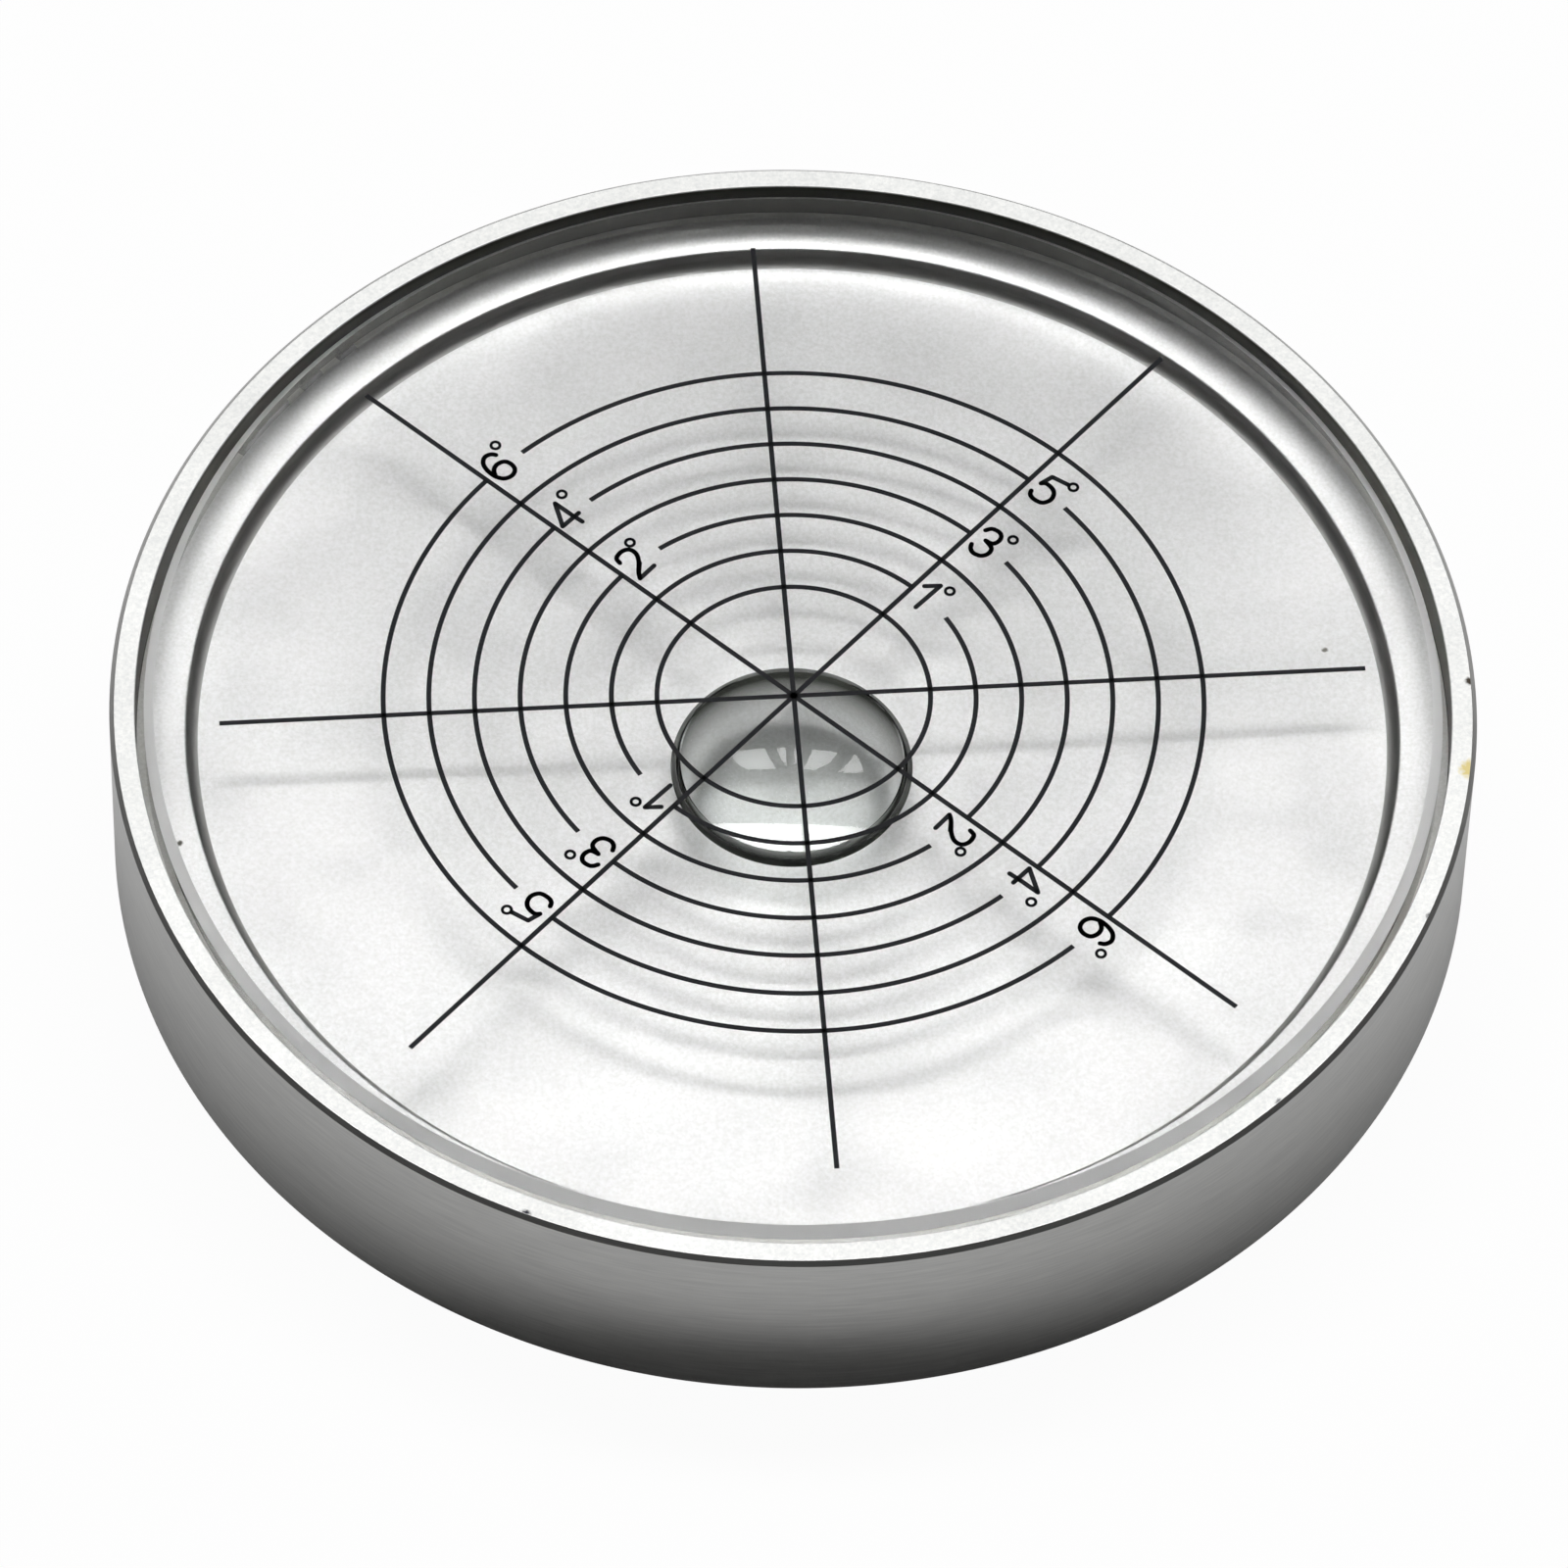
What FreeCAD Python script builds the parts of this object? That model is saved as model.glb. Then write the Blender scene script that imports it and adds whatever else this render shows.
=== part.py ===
import FreeCAD, Part

import math
import os

from FreeCAD import Vector

# Bullseye level: a turned metal case, an acrylic window with a domed underside, and a bubble in spirit
# Sizes are in millimetres. Z is up, the origin is at the centre of the base, and spokes lie along X and Y

# Case, turned from bar
case_diameter = 60.0
case_height = 10.0
rim_edge_chamfer = 0.2
base_edge_chamfer = 0.5
rim_width = 1.125
ledge_width = 2.2
cavity_depth = 1.25
cavity_corner_radius = 0.5

# Window, machined and polished from acrylic sheet
glue_gap = 0.375
window_web_thickness = 0.965
window_proud_height = 0.15
window_edge_chamfer = 0.45
flat_land_width = 5.0

# Glue ring, with air pockets left in its lower corner: heading in degrees, then length along the bore
air_pocket_height = 0.8
air_pockets = [(130.3, 1.0), (134.7, 1.2), (141.6, 3.5)]

# Print on the window: ring spacing is how far the bubble moves for one degree of tilt
ring_spacing = 2.0
centre_ring_radius = 6.0
degree_rings = 6
spoke_count = 8
spoke_end_margin = 1.475
line_width = 0.22
ink_thickness = 0.03
numeral_space = 2.2
odd_numeral_headings = (45.0, 225.0)
even_numeral_headings = (135.0, 315.0)

# Bubble: its resting reading in degrees of tilt, and the way it has drifted
bubble_diameter = 10.6
bubble_reading = 1.53
bubble_heading = 264.5
capillary_length = 1.5
contact_angle = 150.0
bubble_headroom = 0.4
bubble_spans = 16

# Filling hole in the base, off the centre, closed by a pressed ball and resin
filler_distance = 6.25
filler_heading = 264.5
needle_hole_diameter = 0.6
filler_bore_diameter = 2.0
filler_bore_depth = 3.2
drill_point_angle = 118.0
resin_recess = 0.1

# Places that follow from the sizes
case_radius = case_diameter / 2
seat_radius = case_radius - rim_width
cavity_radius = seat_radius - ledge_width
window_radius = seat_radius - glue_gap
dome_rim_radius = window_radius - flat_land_width
dome_radius = ring_spacing / math.radians(1)
dome_depth = dome_radius - math.sqrt(dome_radius**2 - dome_rim_radius**2)
spoke_length = cavity_radius - spoke_end_margin
rim_z = case_height
window_top_z = rim_z + window_proud_height
ledge_z = window_top_z - window_web_thickness - dome_depth
floor_z = ledge_z - cavity_depth
filler_radius = filler_bore_diameter / 2
needle_radius = needle_hole_diameter / 2
drill_cone_height = (filler_radius - needle_radius) / math.tan(math.radians(drill_point_angle / 2))


def polar(radius, degrees, z=0.0):
    angle = math.radians(degrees)
    return Vector(radius * math.cos(angle), radius * math.sin(angle), z)


def line(start, end):
    return Part.makeLine(Vector(start[0], 0, start[1]), Vector(end[0], 0, end[1]))


def arc(start, middle, end):
    points = [Vector(radius, 0, z) for radius, z in (start, middle, end)]
    return Part.Arc(*points).toShape()


def turned(edges):
    profile = Part.Face(Part.Wire(edges))
    return profile.revolve(Vector(0, 0, 0), Vector(0, 0, 1), 360)


def turned_from_corners(corners):
    ends = corners[1:] + corners[:1]
    return turned([line(start, end) for start, end in zip(corners, ends)])


def at_filler(shape):
    """Moves a shape made on the axis to the filling hole."""
    shape.translate(polar(filler_distance, filler_heading))
    return shape


# Case
def filler_drilling():
    """The stepped hole up through the base: a bore with a drill point, then a fine needle hole."""
    return at_filler(turned_from_corners([
        (0, 0),
        (filler_radius, 0),
        (filler_radius, filler_bore_depth),
        (needle_radius, filler_bore_depth + drill_cone_height),
        (needle_radius, floor_z),
        (0, floor_z),
    ]))


def floor_corner():
    """Where the cavity's rounded corner leaves the floor, its middle, and where it meets the wall."""
    radius = cavity_corner_radius
    inset = radius * (1 - math.sqrt(0.5))
    return (
        (cavity_radius - radius, floor_z),
        (cavity_radius - inset, floor_z + inset),
        (cavity_radius, floor_z + radius),
    )


def make_case():
    floor_edge, middle, wall_foot = floor_corner()
    outline = [
        wall_foot,
        (cavity_radius, ledge_z),
        (seat_radius, ledge_z),
        (seat_radius, rim_z),
        (case_radius - rim_edge_chamfer, rim_z),
        (case_radius, rim_z - rim_edge_chamfer),
        (case_radius, base_edge_chamfer),
        (case_radius - base_edge_chamfer, 0),
        (0, 0),
        (0, floor_z),
        floor_edge,
    ]
    edges = [line(start, end) for start, end in zip(outline, outline[1:])]
    edges.append(arc(floor_edge, middle, wall_foot))
    return turned(edges).cut(filler_drilling())


# Filling hole's closure
def ball_centre_z():
    """The ball is pressed up until it touches the drill point."""
    half_angle = math.radians(drill_point_angle / 2)
    cone_apex_z = filler_bore_depth + filler_radius / math.tan(half_angle)
    return cone_apex_z - filler_radius / math.sin(half_angle)


def make_filler_ball():
    return at_filler(Part.makeSphere(filler_radius, Vector(0, 0, ball_centre_z())))


def make_filler_resin():
    column = Part.makeCylinder(filler_radius, ball_centre_z() - resin_recess, Vector(0, 0, resin_recess))
    return at_filler(column).cut(make_filler_ball())


# Window
def dome_height(radius):
    """Height of the window's domed underside above the ledge, at a radius from the centre."""
    centre_z = math.sqrt(dome_radius**2 - dome_rim_radius**2)
    return math.sqrt(dome_radius**2 - radius**2) - centre_z


def dome_arc():
    """The domed underside in section, from its top on the axis out to its rim on the ledge's level."""
    middle = dome_rim_radius / 2
    return arc(
        (0, ledge_z + dome_height(0)),
        (middle, ledge_z + dome_height(middle)),
        (dome_rim_radius, ledge_z),
    )


def make_window():
    outline = [
        (dome_rim_radius, ledge_z),
        (window_radius, ledge_z),
        (window_radius, window_top_z - window_edge_chamfer),
        (window_radius - window_edge_chamfer, window_top_z),
        (0, window_top_z),
        (0, ledge_z + dome_height(0)),
    ]
    edges = [line(start, end) for start, end in zip(outline, outline[1:])]
    edges.append(dome_arc())
    return turned(edges)


# Glue ring
def air_pocket(heading, length):
    """A void along the ring's lower corner, from the window's edge to the bore."""
    sweep = math.degrees(length / window_radius)
    outer = Part.makeCylinder(seat_radius, air_pocket_height, Vector(0, 0, ledge_z), Vector(0, 0, 1), sweep)
    inner = Part.makeCylinder(window_radius, air_pocket_height, Vector(0, 0, ledge_z), Vector(0, 0, 1), sweep)
    pocket = outer.cut(inner)
    pocket.rotate(Vector(0, 0, 0), Vector(0, 0, 1), heading - sweep / 2)
    return pocket


def make_window_adhesive():
    glue_top_z = window_top_z - window_edge_chamfer
    ring = turned_from_corners([
        (window_radius, ledge_z),
        (seat_radius, ledge_z),
        (seat_radius, glue_top_z),
        (window_radius, glue_top_z),
    ])
    return ring.cut([air_pocket(heading, length) for heading, length in air_pockets])


# Bubble
def bubble_curve(bottom_radius):
    """Half outline of a bubble held up by the liquid's pressure, from its flat bottom to where it meets the dome.

    The surface steepens by surface tension: its curvature is what the bottom has, plus height over
    the capillary length squared, less the curvature around the axis.
    """
    step = capillary_length / 150
    points = [(0.0, 0.0)]
    slope = step / bottom_radius
    radius = step
    height = 0.0
    while slope < math.radians(contact_angle):
        points.append((radius, height))
        slope += step * (2 / bottom_radius + height / capillary_length**2 - math.sin(slope) / radius)
        radius += step * math.cos(slope)
        height += step * math.sin(slope)
    return points


def fitted_bubble_curve():
    """The curve whose widest place is the bubble's diameter, found by halving."""
    flattest = bubble_diameter * 100
    roundest = bubble_diameter / 10
    for _ in range(40):
        trial = math.sqrt(flattest * roundest)
        curve = bubble_curve(trial)
        if max(radius for radius, _ in curve) > bubble_diameter / 2:
            flattest = trial
        else:
            roundest = trial
    return curve


def bubble_centre():
    return polar(ring_spacing * bubble_reading, bubble_heading)


def make_bubble():
    """The air space as a solid, with headroom past the dome, which then trims it."""
    curve = fitted_bubble_curve()
    last = len(curve) - 1
    chosen = [curve[round(index * last / bubble_spans)] for index in range(bubble_spans + 1)]
    contact_radius, curve_height = chosen[-1]
    centre = bubble_centre()
    contact_z = ledge_z + dome_height(centre.Length)
    drop = contact_z - curve_height
    meniscus = Part.BSplineCurve()
    meniscus.interpolate([Vector(radius, 0, height + drop) for radius, height in chosen])
    top = contact_z + bubble_headroom
    bubble = turned([
        meniscus.toShape(),
        line((contact_radius, contact_z), (contact_radius, top)),
        line((contact_radius, top), (0, top)),
        line((0, top), (0, drop)),
    ])
    bubble.translate(centre)
    return bubble


# Liquid
def cavity_space():
    """The room between the floor and the window, with its dome."""
    floor_edge, middle, wall_foot = floor_corner()
    return turned([
        line((0, floor_z), floor_edge),
        arc(floor_edge, middle, wall_foot),
        line(wall_foot, (cavity_radius, ledge_z)),
        line((cavity_radius, ledge_z), (dome_rim_radius, ledge_z)),
        dome_arc(),
        line((0, ledge_z + dome_height(0)), (0, floor_z)),
    ])


def make_spirit_fill():
    needle_foot_z = ball_centre_z()
    needle = Part.makeCylinder(needle_radius, floor_z - needle_foot_z, Vector(0, 0, needle_foot_z))
    needle = at_filler(needle).cut(make_filler_ball())
    return cavity_space().fuse(needle).removeSplitter().cut(make_bubble())


# Print
def whole_ring(radius):
    """A flat stroke round a circle."""
    outer = Part.Face(Part.Wire(Part.makeCircle(radius + line_width / 2)))
    inner = Part.Face(Part.Wire(Part.makeCircle(radius - line_width / 2)))
    return outer.cut(inner).Faces[0]


def ring_arc(radius, start, end):
    """A flat stroke along a circle, between two headings."""
    inner = radius - line_width / 2
    outer = radius + line_width / 2
    outer_arc = Part.makeCircle(outer, Vector(), Vector(0, 0, 1), start, end)
    inner_arc = Part.makeCircle(inner, Vector(), Vector(0, 0, 1), start, end)
    first = Part.makeLine(polar(inner, start), polar(outer, start))
    last = Part.makeLine(polar(inner, end), polar(outer, end))
    return Part.Face(Part.Wire([first, outer_arc, last, inner_arc]))


def broken_ring(degree):
    """A numbered ring: each numeral stands clockwise of its spoke, where the ring is left blank."""
    radius = centre_ring_radius + degree * ring_spacing
    blank = math.degrees(math.asin(numeral_space / radius))
    headings = odd_numeral_headings if degree % 2 else even_numeral_headings
    first, second = headings
    return [
        ring_arc(radius, first, second - blank),
        ring_arc(radius, second, first + 360 - blank),
    ]


def spoke(heading):
    half = line_width / 2
    stroke = Part.makePlane(spoke_length, line_width, Vector(0, -half, 0))
    stroke.rotate(Vector(0, 0, 0), Vector(0, 0, 1), heading)
    return stroke


def make_graticule():
    strokes = [whole_ring(centre_ring_radius)]
    for degree in range(1, degree_rings + 1):
        strokes += broken_ring(degree)
    spokes = [spoke(index * 360 / spoke_count) for index in range(spoke_count)]
    print_area = strokes[0].fuse(strokes[1:] + spokes).removeSplitter()
    print_area.translate(Vector(0, 0, window_top_z))
    return print_area.extrude(Vector(0, 0, ink_thickness))


parts = {
    "case": make_case(),
    "window": make_window(),
    "window_adhesive": make_window_adhesive(),
    "spirit_fill": make_spirit_fill(),
    "graticule": make_graticule(),
    "filler_ball": make_filler_ball(),
    "filler_resin": make_filler_resin(),
}

os.makedirs("parts", exist_ok=True)
for name, shape in parts.items():
    solids = shape.Solids
    if len(solids) == 1:
        shape = solids[0]
    shape.exportStep(f"parts/{name}.step")
    box = shape.BoundBox
    print(f"{name}: {len(solids)} solid, valid {shape.isValid()}, {shape.Volume:.2f} mm3, "
          f"z {box.ZMin:.3f} to {box.ZMax:.3f}, {len(shape.Faces)} faces")
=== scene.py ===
import math

import bpy
from mathutils import Matrix, Vector


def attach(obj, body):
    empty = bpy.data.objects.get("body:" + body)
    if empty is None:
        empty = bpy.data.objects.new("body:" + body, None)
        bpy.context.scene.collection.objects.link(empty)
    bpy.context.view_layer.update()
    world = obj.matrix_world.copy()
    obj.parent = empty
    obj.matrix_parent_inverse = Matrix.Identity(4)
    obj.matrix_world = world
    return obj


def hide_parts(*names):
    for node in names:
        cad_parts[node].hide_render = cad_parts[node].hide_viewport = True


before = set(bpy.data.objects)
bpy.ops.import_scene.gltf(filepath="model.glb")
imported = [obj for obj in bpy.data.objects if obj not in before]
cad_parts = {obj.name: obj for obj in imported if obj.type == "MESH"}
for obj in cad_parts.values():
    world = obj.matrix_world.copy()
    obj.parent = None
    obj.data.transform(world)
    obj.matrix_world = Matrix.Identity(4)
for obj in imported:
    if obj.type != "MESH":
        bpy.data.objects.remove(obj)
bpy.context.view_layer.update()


# Case
# One disc turned from aluminium bar, with a seat for the window and a shallow cavity for the spirit.
# It is bead-blasted and clear anodised, which leaves a fine bright grain on the flat faces.
# The upright walls are cut after the blast and keep a smoother satin.
MM = 0.001
ROUND_STEPS = 540
CASE_RADIUS = 30.0
RIM_Z = 10.0
RIM_CHAMFER = 0.2
BASE_CHAMFER = 0.5
SEAT_RADIUS = 28.875
LEDGE_Z = 6.7495
CAVITY_RADIUS = 26.675
FLOOR_Z = 5.4995
FLOOR_CORNER = 0.5
EDGE_BREAK = 0.06
FINE_BREAK = 0.03
OUTER_BREAK = 0.1
BASE_BREAK = 0.05
NEEDLE_BREAK = 0.02
CREASE = 0.02
SHARP_DEGREES = 25.0
BEAD_SIZE = 0.16
BEAD_DEPTH = 0.012
CLOUD_SIZE = 5.0
LINE_SIZE = 0.12
LINE_DEPTH = 0.01
NEEDLE_RADIUS = 0.3
FILLER_RADIUS = 1.0
FILLER_DEPTH = 3.2
DRILL_CONE = 0.4206
FILLER_OFFSET = 6.25
FILLER_TURN = math.radians(264.5)
FILLER_PLACE = (FILLER_OFFSET * math.cos(FILLER_TURN), FILLER_OFFSET * math.sin(FILLER_TURN))
AXIS = (0.0, 0.0)
BLASTED_RIM, BLASTED, SATIN, BORED, SHADED_SEAT = 0, 1, 2, 3, 4


def rounded(corners, steps=5):
    """Points of a section from its corners: radius, height, rounding, the finish after it, and its centre."""
    points = []
    for index, (radius, height, rounding, finish, centre_place) in enumerate(corners):
        here = Vector((radius, height))
        if not rounding:
            points.append((radius, height, finish, centre_place))
            continue
        back = (Vector(corners[index - 1][:2]) - here).normalized()
        ahead = (Vector(corners[(index + 1) % len(corners)][:2]) - here).normalized()
        half = back.angle(ahead) / 2
        centre = here + (back + ahead).normalized() * rounding / math.sin(half)
        start = here + back * rounding / math.tan(half) - centre
        end = here + ahead * rounding / math.tan(half) - centre
        # A ring close beside the rounding keeps the straight run's shading flat
        before = centre + start + back * CREASE
        points.append((before.x, before.y, corners[index - 1][3], centre_place))
        first = math.atan2(start.y, start.x)
        sweep = (math.atan2(end.y, end.x) - first + math.pi) % math.tau - math.pi
        for step in range(steps + 1):
            turn = first + sweep * step / steps
            points.append((centre.x + rounding * math.cos(turn), centre.y + rounding * math.sin(turn), finish,
                           centre_place))
        after = centre + end + ahead * CREASE
        points.append((after.x, after.y, finish, centre_place))
    return points


def ring(radius, height, centre=AXIS):
    """One turn of points, or a single point on the centre; height is a number or a function of the place."""
    count = ROUND_STEPS if radius else 1
    points = []
    for index in range(count):
        turn = math.tau * index / count
        x = centre[0] + radius * math.cos(turn)
        y = centre[1] + radius * math.sin(turn)
        z = height(math.hypot(x, y)) if callable(height) else height
        points.append((x, y, z))
    return points


def skinned(name, rings, finishes, materials, loop=False):
    """A closed mesh through successive rings; each band between two rings has its own finish."""
    vertices, starts = [], []
    for points in rings:
        starts.append(len(vertices))
        vertices += [(x * MM, y * MM, z * MM) for x, y, z in points]
    count = max(len(points) for points in rings)
    order = list(range(len(rings))) + ([0] if loop else [])
    faces, bands = [], []
    for low, high in zip(order, order[1:]):
        for index in range(count):
            after = (index + 1) % count
            corners = []
            for which, place in ((low, index), (low, after), (high, after), (high, index)):
                corner = starts[which] + place % len(rings[which])
                if corner not in corners:
                    corners.append(corner)
            faces.append(corners)
            bands.append(finishes[low])
    mesh = bpy.data.meshes.new(name)
    mesh.from_pydata(vertices, [], faces)
    mesh.polygons.foreach_set("material_index", bands)
    volume = sum(Vector(vertices[face[0]]).dot(Vector(vertices[face[1]]).cross(Vector(vertices[face[2]])))
                 for face in split_in_three(faces))
    if volume < 0:
        mesh.flip_normals()
    return finished(mesh, materials)


def split_in_three(faces):
    """The triangles that fan out from each face's first corner."""
    for face in faces:
        for index in range(1, len(face) - 1):
            yield face[0], face[index], face[index + 1]


def finished(mesh, materials):
    """An object from a mesh, smooth apart from its sharp edges."""
    for material in materials:
        mesh.materials.append(material)
    mesh.shade_smooth()
    mesh.set_sharp_from_angle(angle=math.radians(SHARP_DEGREES))
    piece = bpy.data.objects.new(mesh.name, mesh)
    bpy.context.scene.collection.objects.link(piece)
    return piece


def colour(code):
    """An sRGB hex colour as linear red, green, blue and alpha."""
    parts = [int(code[start:start + 2], 16) / 255 for start in (0, 2, 4)]
    return [part / 12.92 if part <= 0.04045 else ((part + 0.055) / 1.055) ** 2.4 for part in parts] + [1.0]


def new_material(name):
    """A material with an empty node tree, and the tree."""
    material = bpy.data.materials.new(name)
    material.use_nodes = True
    material.node_tree.nodes.clear()
    return material, material.node_tree


def add(tree, kind, settings=None, **inputs):
    """One node with its settings; each input is a value, or a socket to link from."""
    node = tree.nodes.new("ShaderNode" + kind)
    for key, value in (settings or {}).items():
        setattr(node, key, value)
    for key, value in inputs.items():
        socket = node.inputs[int(key[1:])] if key[0] == "_" else node.inputs[key.replace("_", " ")]
        if isinstance(value, bpy.types.NodeSocket):
            tree.links.new(value, socket)
        else:
            socket.default_value = value
    return node


def grain_scale(size_mm):
    """Texture scale, per metre, that gives features of a size in millimetres."""
    return 1 / (size_mm * MM)


def blasted_aluminium(name, roughness, low, high, marks):
    # Bead-blasted, clear anodised aluminium: soft white metal with a fine bright grain, 0.1 mm beads
    material, tree = new_material(name)
    place = add(tree, "TexCoord").outputs["Object"]
    beads = add(tree, "TexNoise", Vector=place, Scale=grain_scale(BEAD_SIZE), Detail=2.0, Roughness=0.6)
    clouds = add(tree, "TexNoise", Vector=place, Scale=grain_scale(CLOUD_SIZE), Detail=3.0)
    tone = add(tree, "ValToRGB", Fac=beads.outputs["Fac"])
    tone.color_ramp.elements[0].position = 0.30
    tone.color_ramp.elements[0].color = colour(low)
    tone.color_ramp.elements[1].position = 0.70
    tone.color_ramp.elements[1].color = colour(high)
    wear = add(tree, "MapRange", Value=clouds.outputs["Fac"], From_Min=0.3, From_Max=0.7,
               To_Min=roughness - 0.02, To_Max=roughness + 0.02)
    bump = add(tree, "Bump", Strength=0.22, Distance=BEAD_DEPTH * MM, Height=beads.outputs["Fac"])
    face = tone.outputs["Color"]
    # Each mark mixes in its colour: real dirt for the specks and the smudge, painted dent shade for the knocks.
    for x, y, z, size, stain_and_dent_shade in marks:
        away = add(tree, "VectorMath", {"operation": "DISTANCE"}, _0=place, _1=(x * MM, y * MM, z * MM))
        ragged = add(tree, "Math", {"operation": "MULTIPLY_ADD"}, _0=beads.outputs["Fac"], _1=-size * MM,
                     _2=away.outputs["Value"])
        spot = add(tree, "MapRange", Value=ragged.outputs["Value"], From_Min=0.5 * size * MM, From_Max=0.0)
        marked = add(tree, "Mix", {"data_type": "RGBA"}, _0=spot.outputs["Result"], _6=face, _7=colour(stain_and_dent_shade))
        face = marked.outputs[2]
    metal = add(tree, "BsdfPrincipled", Base_Color=face, Metallic=1.0,
                Roughness=wear.outputs["Result"], Normal=bump.outputs["Normal"])
    add(tree, "OutputMaterial", Surface=metal.outputs["BSDF"])
    return material


def satin_aluminium(name, roughness, low, high):
    # Turned and clear anodised aluminium wall: smoother than the blast, with faint lines round it
    material, tree = new_material(name)
    place = add(tree, "TexCoord").outputs["Object"]
    across = add(tree, "Mapping", Vector=place, Scale=(0.05, 0.05, 1.0))
    lines = add(tree, "TexNoise", Vector=across.outputs["Vector"], Scale=grain_scale(LINE_SIZE), Detail=2.0)
    tone = add(tree, "ValToRGB", Fac=lines.outputs["Fac"])
    tone.color_ramp.elements[0].position = 0.25
    tone.color_ramp.elements[0].color = colour(low)
    tone.color_ramp.elements[1].position = 0.75
    tone.color_ramp.elements[1].color = colour(high)
    bump = add(tree, "Bump", Strength=0.08, Distance=LINE_DEPTH * MM, Height=lines.outputs["Fac"])
    metal = add(tree, "BsdfPrincipled", Base_Color=tone.outputs["Color"], Metallic=1.0,
                Roughness=roughness, Normal=bump.outputs["Normal"])
    add(tree, "OutputMaterial", Surface=metal.outputs["BSDF"])
    return material


# Small knocks on the rim's outer edge, drawn only as dark spots of painted shade in their dents; three specks
# of dirt and a yellowish smudge.
# Each has its x, y, z and size in mm, and its colour.
RIM_MARKS = ((-13.42, -26.70, 10.0, 0.34, "3A3A42"), (19.32, -22.90, 10.0, 0.34, "3A3A42"),
             (26.75, -13.50, 10.0, 0.30, "3A3A42"), (29.75, -0.86, 10.0, 0.26, "4A443C"),
             (29.3, -5.65, 10.0, 0.60, "D2C48C"))
INSIDE_MARKS = ((23.87, 3.20, FLOOR_Z, 0.16, "8A8880"), (-27.2, -4.90, LEDGE_Z, 0.18, "5A5850"))

# The inside copy of the blast, also used on the base, is paler than the rim's: painted light that makes up for
# the light lost under the window and spirit.
case_finishes = [blasted_aluminium("blasted_anodised_rim", 0.63, "DBDCDB", "EBEBE9", RIM_MARKS),
                 blasted_aluminium("blasted_anodised_inside_painted_light", 0.49, "F0F0EE", "FFFFFF", INSIDE_MARKS),
                 satin_aluminium("satin_anodised_wall", 0.30, "B2B2B1", "C2C2C0"),
                 satin_aluminium("bored_anodised_wall", 0.55, "B4B4B2", "C4C4C2"),
                 # The seat wall's dark grey is painted shade for the glued gap round the window's edge, not the
                 # metal's own colour.
                 satin_aluminium("seat_wall_painted_shade", 0.40, "5E5E5A", "6C6C68")]
case_section = rounded([
    (NEEDLE_RADIUS, FLOOR_Z, NEEDLE_BREAK, BLASTED, FILLER_PLACE),
    (CAVITY_RADIUS, FLOOR_Z, FLOOR_CORNER, BORED, AXIS),
    (CAVITY_RADIUS, LEDGE_Z, EDGE_BREAK, BLASTED, AXIS),
    (SEAT_RADIUS, LEDGE_Z, FINE_BREAK, SHADED_SEAT, AXIS),
    (SEAT_RADIUS, RIM_Z, EDGE_BREAK, BLASTED_RIM, AXIS),
    (CASE_RADIUS - RIM_CHAMFER, RIM_Z, FINE_BREAK, SATIN, AXIS),
    (CASE_RADIUS, RIM_Z - RIM_CHAMFER, FINE_BREAK, SATIN, AXIS),
    (CASE_RADIUS, BASE_CHAMFER, OUTER_BREAK, SATIN, AXIS),
    (CASE_RADIUS - BASE_CHAMFER, 0.0, BASE_BREAK, BLASTED, AXIS),
    (FILLER_RADIUS, 0.0, FINE_BREAK, SATIN, FILLER_PLACE),
    (FILLER_RADIUS, FILLER_DEPTH, 0.0, SATIN, FILLER_PLACE),
    (NEEDLE_RADIUS, FILLER_DEPTH + DRILL_CONE, 0.0, SATIN, FILLER_PLACE),
])
case = skinned("case_body", [ring(radius, height, centre) for radius, height, _, centre in case_section],
               [finish for _, _, finish, _ in case_section], case_finishes, loop=True)
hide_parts("case")
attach(case, "root")


# Filling hole's closure
# A polished steel ball is pressed up the hole in the base, and black resin is poured over it.
# Neither shows from above; the resin fills the hole to just inside the base.
HAZE_SIZE = 0.2
DIMPLE_SIZE = 0.4
DIMPLE_DEPTH = 0.03


def ball_steel():
    # Bearing steel, lapped: a bright hard mirror with the faintest haze
    material, tree = new_material("lapped_bearing_steel")
    place = add(tree, "TexCoord").outputs["Object"]
    haze = add(tree, "TexNoise", Vector=place, Scale=grain_scale(HAZE_SIZE))
    rough = add(tree, "MapRange", Value=haze.outputs["Fac"], To_Min=0.08, To_Max=0.18)
    metal = add(tree, "BsdfPrincipled", Base_Color=colour("C4C5C7"), Metallic=1.0,
                Roughness=rough.outputs["Result"])
    add(tree, "OutputMaterial", Surface=metal.outputs["BSDF"])
    return material


def sealing_resin():
    # Black potting resin, poured: glossy with a slight dimple texture
    material, tree = new_material("poured_black_resin")
    place = add(tree, "TexCoord").outputs["Object"]
    dimples = add(tree, "TexNoise", Vector=place, Scale=grain_scale(DIMPLE_SIZE))
    bump = add(tree, "Bump", Strength=0.3, Distance=DIMPLE_DEPTH * MM, Height=dimples.outputs["Fac"])
    resin = add(tree, "BsdfPrincipled", Base_Color=colour("1B1B1D"), Roughness=0.25,
                Normal=bump.outputs["Normal"])
    add(tree, "OutputMaterial", Surface=resin.outputs["BSDF"])
    return material


for node, material in (("filler_ball", ball_steel()), ("filler_resin", sealing_resin())):
    for material_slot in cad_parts[node].material_slots:
        material_slot.material = material
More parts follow.
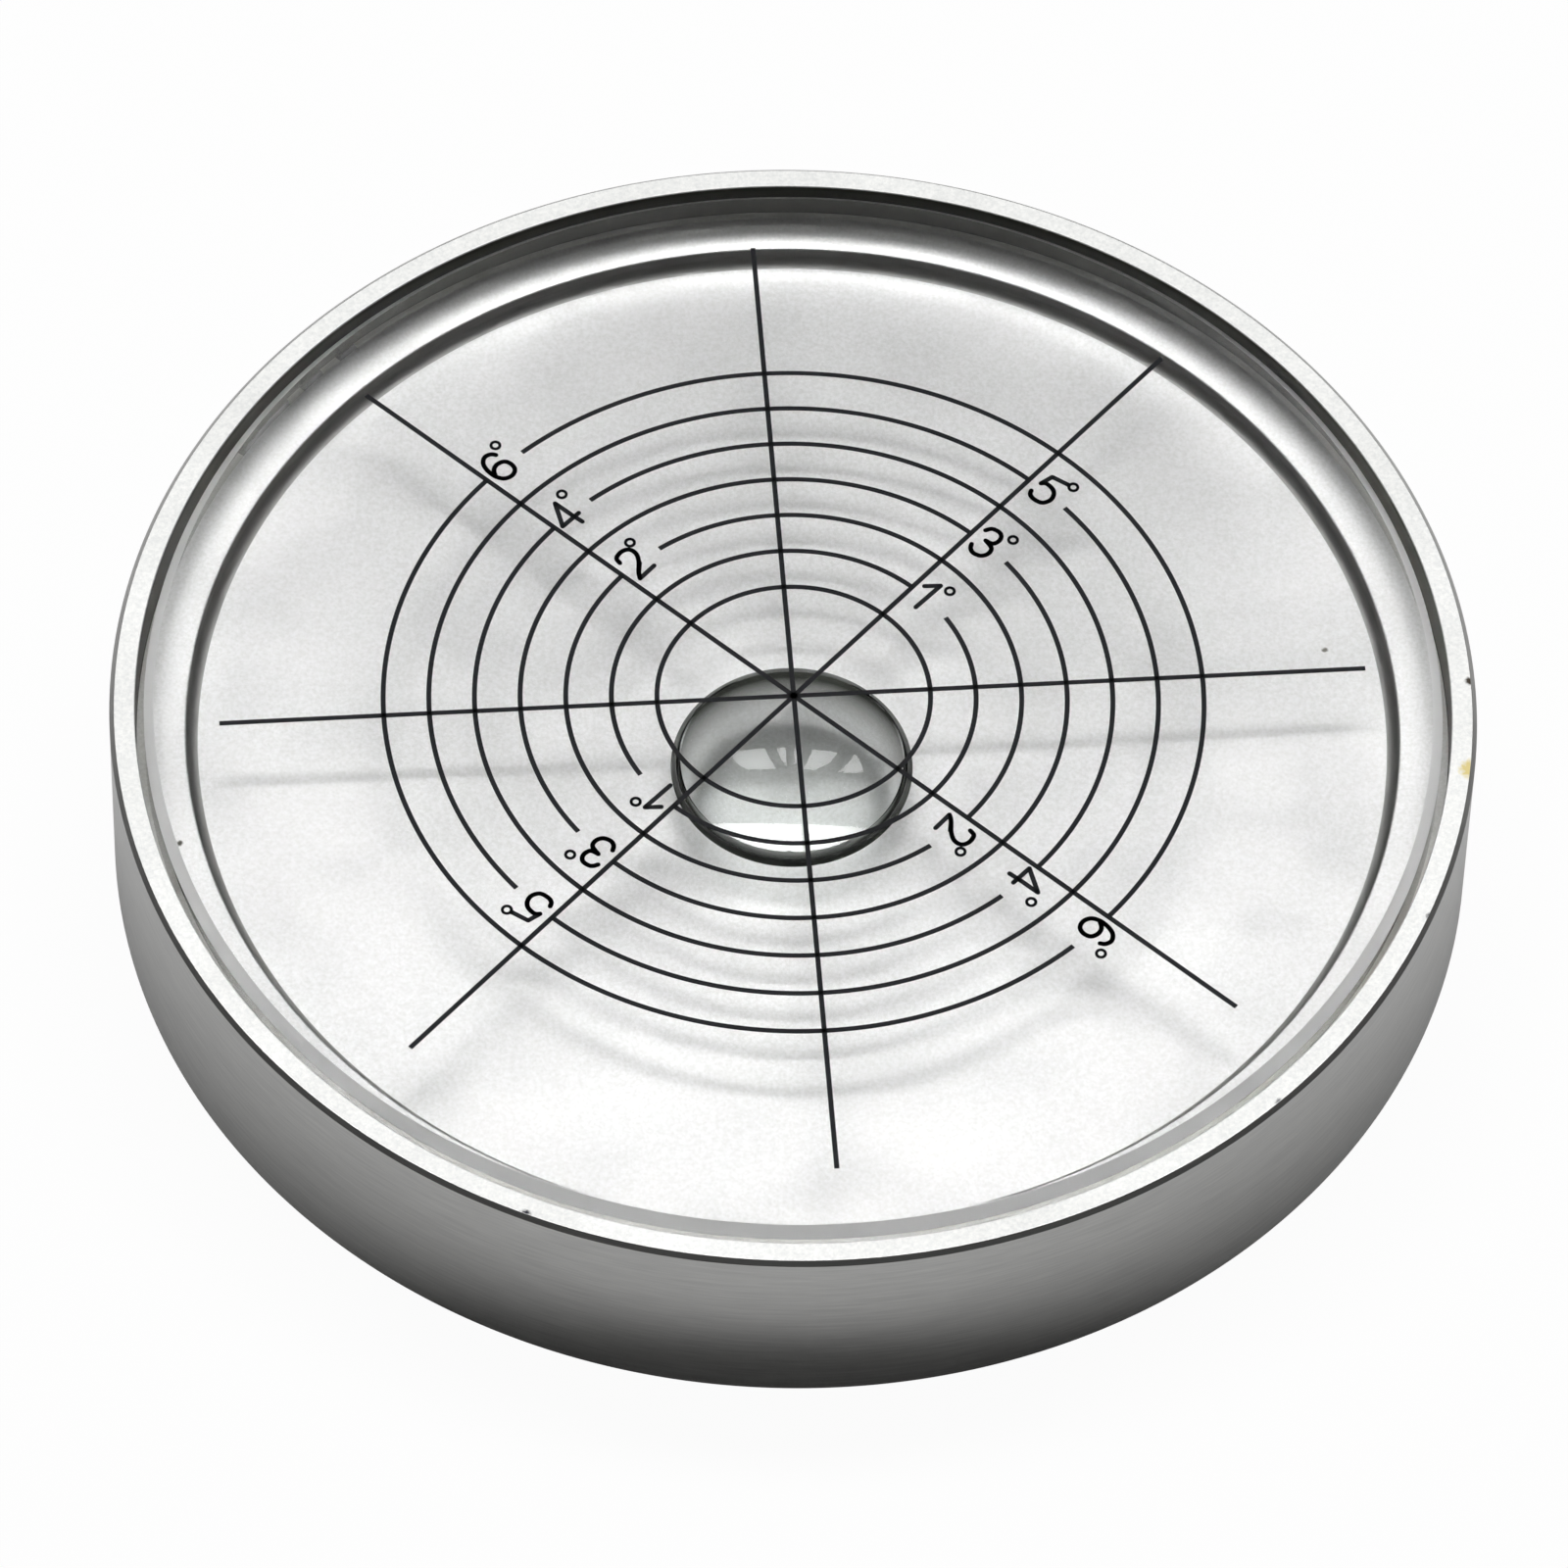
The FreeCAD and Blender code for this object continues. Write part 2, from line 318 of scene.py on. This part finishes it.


# Spirit
# Clear spirit fills the cavity, and one air bubble is a hollow in it, pressed up against the dome.
# The bubble's skin is steep at its sides, which draws its dark and bright outline; its colour there is darkened
# too, a painted shade that deepens the outline and the bubble's shadow.
SPIRIT_IOR = 1.40
ACRYLIC_IOR = 1.49
FILM = 0.005
DOME_RIM_RADIUS = 23.5
DOME_RADIUS = 2.0 / math.radians(1.0)
BUBBLE_RADIUS = 5.3
BUBBLE_OFFSET = 3.06
BUBBLE_HEADING = 264.5
CAPILLARY_LENGTH = 1.5
CONTACT_DEGREES = 150.0
MENISCUS_STEPS = 90
MENISCUS_FINENESS = 300
BOTTOM_RADII = (1.0, 1000.0)
HALVINGS = 40
DOME_STEPS = 40
LID_STEPS = 8
WAVE_SIZE = 6.0
STEEP_AT = 0.15
LEVEL_AT = 0.8
WET, OPEN_SKIN = 0, 1


def dome_z(radius):
    """Height of the window's domed underside at a distance from the axis."""
    if radius >= DOME_RIM_RADIUS:
        return LEDGE_Z
    rise, rim_rise = (math.sqrt(DOME_RADIUS ** 2 - place ** 2) for place in (radius, DOME_RIM_RADIUS))
    return LEDGE_Z + rise - rim_rise


def meniscus(bottom_radius):
    """Half outline of a bubble under a flat lid, from its bottom up: surface tension against weight."""
    step = CAPILLARY_LENGTH / MENISCUS_FINENESS
    slope, radius, height = step / bottom_radius, step, 0.0
    points = [(0.0, 0.0)]
    while slope < math.radians(CONTACT_DEGREES):
        points.append((radius, height))
        slope += step * (2 / bottom_radius + height / CAPILLARY_LENGTH ** 2 - math.sin(slope) / radius)
        radius += step * math.cos(slope)
        height += step * math.sin(slope)
    return points


def fitted_meniscus():
    """The outline that is as wide as the bubble, found by halving, thinned to a few steps."""
    narrowest, widest = BOTTOM_RADII
    for _ in range(HALVINGS):
        trial = math.sqrt(widest * narrowest)
        points = meniscus(trial)
        if max(radius for radius, _ in points) > BUBBLE_RADIUS:
            widest = trial
        else:
            narrowest = trial
    return [points[round(index * (len(points) - 1) / MENISCUS_STEPS)] for index in range(MENISCUS_STEPS + 1)]


bubble_turn = math.radians(BUBBLE_HEADING)
bubble_place = (BUBBLE_OFFSET * math.cos(bubble_turn), BUBBLE_OFFSET * math.sin(bubble_turn))
bubble_outline = fitted_meniscus()
contact_radius, bubble_height = bubble_outline[-1]
bubble_foot_z = dome_z(BUBBLE_OFFSET) - bubble_height


def dome_ring(share, lift):
    """A ring on the dome, from the bubble's edge at 0 out to the dome's rim at 1."""
    centre = (bubble_place[0] * (1 - share), bubble_place[1] * (1 - share))
    radius = contact_radius + share * (DOME_RIM_RADIUS - contact_radius)
    return ring(radius, lambda distance: dome_z(distance) + lift, centre)


def clear(name, ior, tint, roughness=0.0, reflects=True, steep_shade=None):
    """A clear body's skin. It bends all light, so the bubble and the print cast their own soft shadows; a dark
    colour where the skin is upright adds painted shade to the bubble's outline and shadow.
    """
    material, tree = new_material(name)
    place = add(tree, "TexCoord").outputs["Object"]
    waves = add(tree, "TexNoise", Vector=place, Scale=grain_scale(WAVE_SIZE), Detail=1.0)
    body = add(tree, "ValToRGB", Fac=waves.outputs["Fac"])
    body.color_ramp.elements[0].color = colour(tint)
    body.color_ramp.elements[1].color = colour("FFFFFF")
    # Painted shade: the skin's colour darkens where it is upright, along the bubble's outline.
    if steep_shade:
        upright = add(tree, "SeparateXYZ", Vector=add(tree, "NewGeometry").outputs["Normal"])
        level = add(tree, "Math", {"operation": "ABSOLUTE"}, _0=upright.outputs["Z"])
        body = add(tree, "ValToRGB", Fac=level.outputs["Value"])
        body.color_ramp.elements[0].position = STEEP_AT
        body.color_ramp.elements[0].color = colour(steep_shade)
        body.color_ramp.elements[1].position = LEVEL_AT
        body.color_ramp.elements[1].color = colour(tint)
    skin = add(tree, "BsdfGlass" if reflects else "BsdfRefraction", Color=body.outputs["Color"],
               Roughness=roughness, IOR=ior)
    add(tree, "OutputMaterial", Surface=skin.outputs["BSDF"])
    return material


# Clear spirit: water-clear, a little under acrylic in how it bends light; against the window it shows no skin
spirit_finishes = [clear("clear_spirit_on_acrylic", SPIRIT_IOR, "FFFFFF", reflects=False),
                   # The open skin is darkened where upright: painted shade along the bubble's outline and in
                   # its shadow.
                   clear("clear_spirit_skin", SPIRIT_IOR, "FCFEFD", steep_shade="5C6058")]
spirit_rings = [ring(radius, bubble_foot_z + height, bubble_place) for radius, height in bubble_outline]
spirit_finish = [OPEN_SKIN] * (len(spirit_rings) - 1)
spirit_rings[-1] = ring(contact_radius, dome_z, bubble_place)
for index in range(DOME_STEPS + 1):
    spirit_rings.append(dome_ring(index / DOME_STEPS, FILM))
spirit_rings.append(ring(DOME_RIM_RADIUS + CREASE, LEDGE_Z + FILM))
spirit_finish += [WET] * (DOME_STEPS + 3)
wall_radius = CAVITY_RADIUS + FILM
low_z = FLOOR_Z - FILM
for radius, height, _, centre in rounded([
    (wall_radius + EDGE_BREAK, LEDGE_Z + FILM, 0.0, WET, AXIS),
    (wall_radius, LEDGE_Z - EDGE_BREAK, 0.0, WET, AXIS),
    (wall_radius, low_z, FLOOR_CORNER, WET, AXIS),
    (NEEDLE_RADIUS, low_z, 0.0, WET, FILLER_PLACE),
    (NEEDLE_RADIUS, FILLER_DEPTH + DRILL_CONE, 0.0, WET, FILLER_PLACE),
    (0.0, FILLER_DEPTH + DRILL_CONE, 0.0, WET, FILLER_PLACE),
]):
    spirit_rings.append(ring(radius, height, centre))
    spirit_finish.append(WET)
spirit = skinned("spirit", spirit_rings, spirit_finish, spirit_finishes)
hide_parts("spirit_fill")
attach(spirit, "root")


# Window
# A disc of clear cast acrylic, cut and polished, with a domed underside that centres the bubble.
# Its top edge has a fine-turned chamfer, and it is glued into the seat on its ledge.
WINDOW_RADIUS = 28.5
WINDOW_TOP_Z = 10.15
WINDOW_CHAMFER = 0.45
WINDOW_BREAK = 0.04
CUT_ROUGHNESS = 0.55
POLISHED, WETTED, CUT = 0, 1, 2

# Cast acrylic: water-clear, polished on its faces and matt on its turned chamfer
window_finishes = [clear("polished_acrylic", ACRYLIC_IOR, "FFFFFF"),
                   clear("polished_acrylic_on_spirit", ACRYLIC_IOR, "FFFFFF", reflects=False),
                   clear("cut_acrylic_edge", ACRYLIC_IOR, "FFFFFF", roughness=CUT_ROUGHNESS)]
window_rings = [ring(0.0, dome_z, bubble_place)]
window_finish = [POLISHED]
for index in range(1, LID_STEPS + 1):
    window_rings.append(ring(contact_radius * index / LID_STEPS, dome_z, bubble_place))
    window_finish.append(POLISHED if index < LID_STEPS else WETTED)
for index in range(1, DOME_STEPS + 1):
    window_rings.append(dome_ring(index / DOME_STEPS, 0.0))
    window_finish.append(WETTED)
window_rings.append(ring(DOME_RIM_RADIUS + CREASE, LEDGE_Z))
window_finish.append(WETTED)
for radius, height, finish, _ in rounded([
    (CAVITY_RADIUS + EDGE_BREAK - FILM, LEDGE_Z, 0.0, WETTED, AXIS),
    (CAVITY_RADIUS + EDGE_BREAK, LEDGE_Z - FILM, 0.0, POLISHED, AXIS),
    (WINDOW_RADIUS, LEDGE_Z - FILM, 0.0, POLISHED, AXIS),
    (WINDOW_RADIUS, WINDOW_TOP_Z - WINDOW_CHAMFER, WINDOW_BREAK, CUT, AXIS),
    (WINDOW_RADIUS - WINDOW_CHAMFER, WINDOW_TOP_Z, WINDOW_BREAK, POLISHED, AXIS),
    (0.0, WINDOW_TOP_Z, 0.0, POLISHED, AXIS),
]):
    window_rings.append(ring(radius, height))
    window_finish.append(finish)
window = skinned("window_disc", window_rings, window_finish, window_finishes)
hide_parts("window")
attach(window, "root")


# Glue ring
# Clear glue fills the gap between the window's edge and the seat up to the chamfer.
# Three air pockets stay in its lower part, at the back left: each has its heading and its length in mm.
GLUE_TOP_Z = 9.7
POCKET_HEIGHT = 0.8
POCKETS = ((130.3, 1.0), (134.7, 1.2), (141.6, 3.5))
POCKET_END_DEGREES = 0.25
GLUE_STEPS = 4 * ROUND_STEPS
GLUE_IOR = 1.50
glue_finish = clear("clear_cured_glue", GLUE_IOR, "F6F6F2")


def glue_ring():
    """The ring as a tube of four corners, whose bottom lifts over the air pockets."""
    rings = [[], [], [], []]
    for index in range(GLUE_STEPS):
        degrees = 360 * index / GLUE_STEPS
        lifted = 0.0
        for heading, length in POCKETS:
            half = math.degrees(length / WINDOW_RADIUS) / 2
            edge = (half - abs(degrees - heading)) / POCKET_END_DEGREES
            lifted = max(lifted, min(1.0, max(0.0, edge)))
        bottom = LEDGE_Z - FILM + lifted * (POCKET_HEIGHT + FILM)
        turn = math.radians(degrees)
        inner, outer = WINDOW_RADIUS - 2 * FILM, SEAT_RADIUS + FILM
        for which, (radius, height) in enumerate(((inner, bottom), (outer, bottom), (outer, GLUE_TOP_Z),
                                                  (inner, GLUE_TOP_Z))):
            rings[which].append((radius * math.cos(turn), radius * math.sin(turn), height))
    return rings


glue = skinned("glue_ring", glue_ring(), [0] * 4, [glue_finish], loop=True)
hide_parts("window_adhesive")
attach(glue, "root")


# Print
# Rings at each degree and eight spokes are screen-printed on the window in black ink.
# The rings stop short of each spoke that carries a numeral, and start again past it.
INK_HEIGHT = 0.03
LINE_WIDTH = 0.22
RING_PITCH = 2.0
CENTRE_RING = 6.0
SPOKE_LENGTH = 25.2
NUMERAL_SPACE = 2.2
SPECKLE_SIZE = 0.25
ODD_HEADINGS = (45.0, 225.0)
EVEN_HEADINGS = (135.0, 315.0)
SPOKES = 8
DEGREES = range(1, 7)


def black_ink():
    # Screen ink: dense black, slightly uneven in sheen
    material, tree = new_material("screen_printed_black_ink")
    place = add(tree, "TexCoord").outputs["Object"]
    speckle = add(tree, "TexNoise", Vector=place, Scale=grain_scale(SPECKLE_SIZE))
    tone = add(tree, "ValToRGB", Fac=speckle.outputs["Fac"])
    tone.color_ramp.elements[0].color = colour("0B0B0E")
    tone.color_ramp.elements[1].color = colour("191A20")
    ink = add(tree, "BsdfPrincipled", Base_Color=tone.outputs["Color"], Roughness=0.6)
    ink.inputs["Specular IOR Level"].default_value = 0.2
    add(tree, "OutputMaterial", Surface=ink.outputs["BSDF"])
    return material


ink = black_ink()


def prisms(name, outlines):
    """Thin flat prisms standing on the window's top, one for each outline of points in mm."""
    vertices, faces = [], []
    for outline in outlines:
        start, count = len(vertices), len(outline)
        for height in (WINDOW_TOP_Z, WINDOW_TOP_Z + INK_HEIGHT):
            vertices += [(x * MM, y * MM, height * MM) for x, y in outline]
        faces.append([start + count + index for index in range(count)])
        faces.append([start + index for index in reversed(range(count))])
        for index in range(count):
            after = (index + 1) % count
            faces.append([start + index, start + after, start + count + after, start + count + index])
    mesh = bpy.data.meshes.new(name)
    mesh.from_pydata(vertices, [], faces)
    return finished(mesh, [ink])


def bow(radius, start, end, step=1.0):
    """Quads along a printed arc, from one heading to another."""
    count = max(1, round((end - start) / step))
    quads = []
    for index in range(count):
        first = math.radians(start + (end - start) * index / count)
        last = math.radians(start + (end - start) * (index + 1) / count)
        inner, outer = radius - LINE_WIDTH / 2, radius + LINE_WIDTH / 2
        quads.append([(inner * math.cos(first), inner * math.sin(first)),
                      (outer * math.cos(first), outer * math.sin(first)),
                      (outer * math.cos(last), outer * math.sin(last)),
                      (inner * math.cos(last), inner * math.sin(last))])
    return quads


lines = bow(CENTRE_RING, 0, 360)
for degree in DEGREES:
    radius = CENTRE_RING + RING_PITCH * degree
    blank = math.degrees(math.asin(NUMERAL_SPACE / radius))
    first, second = ODD_HEADINGS if degree % 2 else EVEN_HEADINGS
    lines += bow(radius, first, second - blank) + bow(radius, second, first + 360 - blank)
for index in range(SPOKES):
    turn = math.tau * index / SPOKES
    half_x, half_y = -math.sin(turn) * LINE_WIDTH / 2, math.cos(turn) * LINE_WIDTH / 2
    end_x, end_y = SPOKE_LENGTH * math.cos(turn), SPOKE_LENGTH * math.sin(turn)
    lines.append([(-half_x, -half_y), (end_x - half_x, end_y - half_y), (end_x + half_x, end_y + half_y),
                  (half_x, half_y)])
graticule = prisms("printed_lines", lines)
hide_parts("graticule")
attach(graticule, "root")


# Numerals
# Each ring's degrees are printed at its blank, as thin open strokes with a small degree ring.
# A numeral stands on its spoke, reads clockwise and has its head outward.
STROKE = 0.21
DEGREE_RADIUS = 0.2
DEGREE_STROKE = 0.13
DEGREE_SIDES = 20
JOINT_SIDES = 12
NUMERALS = {
    1: ([[(0.37, 0.40), (0.89, 0.89), (0.84, -0.74)]], [], (1.39, 0.93)),
    2: ([[(1.02, -0.12), (0.60, -0.43), (0.39, -0.70), (1.34, -0.69)]],
        [[(0.44, 0.53), (0.54, 0.82), (0.94, 0.90), (1.27, 0.73), (1.31, 0.36), (1.07, -0.02), (0.60, -0.43),
          (0.39, -0.70)]], (1.59, 0.95)),
    3: ([], [[(0.38, 0.56), (0.56, 0.82), (0.92, 0.88), (1.14, 0.74), (1.21, 0.47), (1.09, 0.20), (0.75, 0.13)],
             [(0.75, 0.13), (1.21, -0.02), (1.31, -0.34), (1.15, -0.65), (0.80, -0.76), (0.54, -0.65),
              (0.41, -0.43)]], (1.64, 0.96)),
    4: ([[(1.33, -0.26), (0.29, -0.23), (1.03, 0.88), (1.04, -0.14), (1.07, -0.70)]], [], (1.61, 0.99)),
    5: ([[(1.51, 0.95), (0.67, 0.81), (0.52, 0.20)]],
        [[(0.52, 0.20), (0.71, 0.35), (1.09, 0.31), (1.34, 0.12), (1.44, -0.24), (1.25, -0.60), (0.85, -0.68),
          (0.57, -0.59), (0.46, -0.39)]], (1.74, 0.99)),
    6: ([], [[(1.32, 0.64), (1.19, 0.84), (0.89, 0.93), (0.59, 0.75), (0.44, 0.44), (0.39, 0.09), (0.42, -0.22),
              (0.58, -0.52), (0.91, -0.66), (1.25, -0.55), (1.39, -0.23), (1.30, 0.11), (0.96, 0.25),
              (0.65, 0.16), (0.44, -0.10)]], (1.71, 1.02)),
}


def smoothed(points, steps=6):
    """Points along a smooth curve through the given ones."""
    padded = [points[0]] + list(points) + [points[-1]]
    curve = []
    for before, start, end, after in zip(padded, padded[1:], padded[2:], padded[3:]):
        for step in range(steps):
            t = step / steps
            curve.append(tuple(
                0.5 * (2 * b + (c - a) * t + (2 * a - 5 * b + 4 * c - d) * t ** 2
                       + (3 * b - a - 3 * c + d) * t ** 3)
                for a, b, c, d in zip(before, start, end, after)))
    return curve + [points[-1]]


def disc(centre, radius, count=JOINT_SIDES):
    """Points round a small circle."""
    turns = [math.tau * index / count for index in range(count)]
    return [(centre[0] + radius * math.cos(turn), centre[1] + radius * math.sin(turn)) for turn in turns]


def stroke(points, width):
    """Quads and round joints along a stroke of a given width."""
    shapes = [disc(point, width / 2) for point in points]
    for start, end in zip(points, points[1:]):
        along = Vector((end[0] - start[0], end[1] - start[1])).normalized() * width / 2
        shapes.append([(start[0] + along.y, start[1] - along.x), (end[0] + along.y, end[1] - along.x),
                       (end[0] - along.y, end[1] + along.x), (start[0] - along.y, start[1] + along.x)])
    return shapes


def numeral(digit, heading):
    """A digit and its degree ring, standing on its spoke at its ring."""
    straight, curved, degree_place = NUMERALS[digit]
    shapes = []
    for points in straight + [smoothed(points) for points in curved]:
        shapes += stroke(points, STROKE)
    circle = disc(degree_place, DEGREE_RADIUS, DEGREE_SIDES)
    shapes += stroke(circle + circle[:1], DEGREE_STROKE)
    turn = math.radians(heading)
    out, side = Vector((math.cos(turn), math.sin(turn))), Vector((math.sin(turn), -math.cos(turn)))
    foot = out * (CENTRE_RING + RING_PITCH * digit)
    placed = []
    for shape in shapes:
        corners = [foot + side * u + out * v for u, v in shape]
        placed.append([(corner.x, corner.y) for corner in reversed(corners)])
    return placed


for digit in NUMERALS:
    for which, heading in enumerate(ODD_HEADINGS if digit % 2 else EVEN_HEADINGS):
        printed = prisms(f"numeral_{digit}_{'ab'[which]}", numeral(digit, heading))
        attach(printed, "root")


# Floor and light
# A plain white sheet under the part, one long soft lamp above and behind it, and a weak even room light.
# The lamp is wide from side to side and narrow front to back, so only the cross lines cast a clear shadow.
FLOOR_RADIUS = 3000.0
FLOOR_OPENING = 29.0
FLOOR_DROP = 0.02
FLOOR_GLOW = 0.96
MOTTLE_SIZE = 40.0
ROOM_LIGHT = 0.08
CAMERA_HEADING = -5.5
LAMP_FROM_VERTICAL = 19.5
LAMP_DISTANCE = 0.7
LAMP_WIDTH = 0.7
LAMP_DEPTH = 0.13
LAMP_WATTS = 3.85


def white_sheet():
    # Matt white paper: even and pale, with a faint mottle
    material, tree = new_material("matt_white_paper")
    place = add(tree, "TexCoord").outputs["Object"]
    mottle = add(tree, "TexNoise", Vector=place, Scale=grain_scale(MOTTLE_SIZE))
    tone = add(tree, "ValToRGB", Fac=mottle.outputs["Fac"])
    tone.color_ramp.elements[0].color = colour("F6F6F6")
    tone.color_ramp.elements[1].color = colour("FAFAFA")
    paper = add(tree, "BsdfDiffuse", Color=tone.outputs["Color"])
    white = add(tree, "Emission", Color=colour("FFFFFF"), Strength=1.0)
    path = add(tree, "LightPath")
    share = add(tree, "Math", {"operation": "MULTIPLY"}, _0=path.outputs["Is Camera Ray"], _1=FLOOR_GLOW)
    mixed = add(tree, "MixShader", Fac=share.outputs["Value"], _1=paper.outputs["BSDF"],
                _2=white.outputs["Emission"])
    # Seen from below the sheet is clear, so that the base can be looked at
    below = add(tree, "NewGeometry").outputs["Backfacing"]
    one_way = add(tree, "MixShader", Fac=below, _1=mixed.outputs["Shader"],
                  _2=add(tree, "BsdfTransparent", Color=colour("FFFFFF")).outputs["BSDF"])
    add(tree, "OutputMaterial", Surface=one_way.outputs["Shader"])
    return material


# The part hides an opening in the sheet, which lets room light reach the base when it is looked at
floor_mesh = bpy.data.meshes.new("white_floor")
floor_points = ring(FLOOR_OPENING, -FLOOR_DROP) + ring(FLOOR_RADIUS, -FLOOR_DROP)
floor_mesh.from_pydata([(x * MM, y * MM, z * MM) for x, y, z in floor_points], [],
                       [(index, ROUND_STEPS + index, ROUND_STEPS + (index + 1) % ROUND_STEPS,
                         (index + 1) % ROUND_STEPS) for index in range(ROUND_STEPS)])
white_floor = finished(floor_mesh, [white_sheet()])

world = bpy.data.worlds.new("even_room_light")
world.use_nodes = True
world.node_tree.nodes.clear()
room_path = add(world.node_tree, "LightPath")
room = add(world.node_tree, "Background", Color=colour("FFFFFF"), Strength=ROOM_LIGHT)
white_back = add(world.node_tree, "Background", Color=colour("FFFFFF"), Strength=1.0)
room_mix = add(world.node_tree, "MixShader", Fac=room_path.outputs["Is Camera Ray"],
               _1=room.outputs["Background"], _2=white_back.outputs["Background"])
add(world.node_tree, "OutputWorld", Surface=room_mix.outputs["Shader"])
bpy.context.scene.world = world


def lamp(name, heading, from_vertical, distance, width, depth, power):
    """A soft rectangular lamp that faces the part, width side to side and depth front to back, in metres."""
    light = bpy.data.lights.new(name, "AREA")
    light.shape = "RECTANGLE"
    light.size, light.size_y, light.energy = width, depth, power
    holder = bpy.data.objects.new(name, light)
    bpy.context.scene.collection.objects.link(holder)
    turn = (Matrix.Rotation(math.radians(heading), 4, "Z")
            @ Matrix.Rotation(math.radians(-from_vertical), 4, "X"))
    holder.matrix_world = turn @ Matrix.Translation((0.0, 0.0, distance))


lamp("long_soft_lamp", CAMERA_HEADING, LAMP_FROM_VERTICAL, LAMP_DISTANCE, LAMP_WIDTH, LAMP_DEPTH,
     LAMP_WATTS)


# Camera
# A long lens at the photograph's angle: about 54 degrees above the floor, half a metre away.
LENS = 286.9
ELEVATION = 53.654
ROLL = 1.662
DISTANCE = 0.54814
SENSOR_WIDTH = 36.0
AIM_RIGHT = 0.0004256
AIM_UP = 0.0037715

camera_data = bpy.data.cameras.new("camera")
camera_data.lens = LENS
camera_data.sensor_width = SENSOR_WIDTH
camera_data.sensor_fit = "HORIZONTAL"
camera_data.clip_start = 0.01
camera_data.clip_end = 50.0
camera = bpy.data.objects.new("camera", camera_data)
bpy.context.scene.collection.objects.link(camera)
facing = (Matrix.Rotation(math.radians(CAMERA_HEADING), 4, "Z")
          @ Matrix.Rotation(math.radians(90 - ELEVATION), 4, "X")
          @ Matrix.Rotation(math.radians(ROLL), 4, "Z"))
camera.matrix_world = (Matrix.Translation((0.0, 0.0, RIM_Z * MM)) @ facing
                       @ Matrix.Translation((-AIM_RIGHT, -AIM_UP, DISTANCE)))
bpy.context.scene.camera = camera
bpy.context.scene.view_settings.view_transform = "Standard"
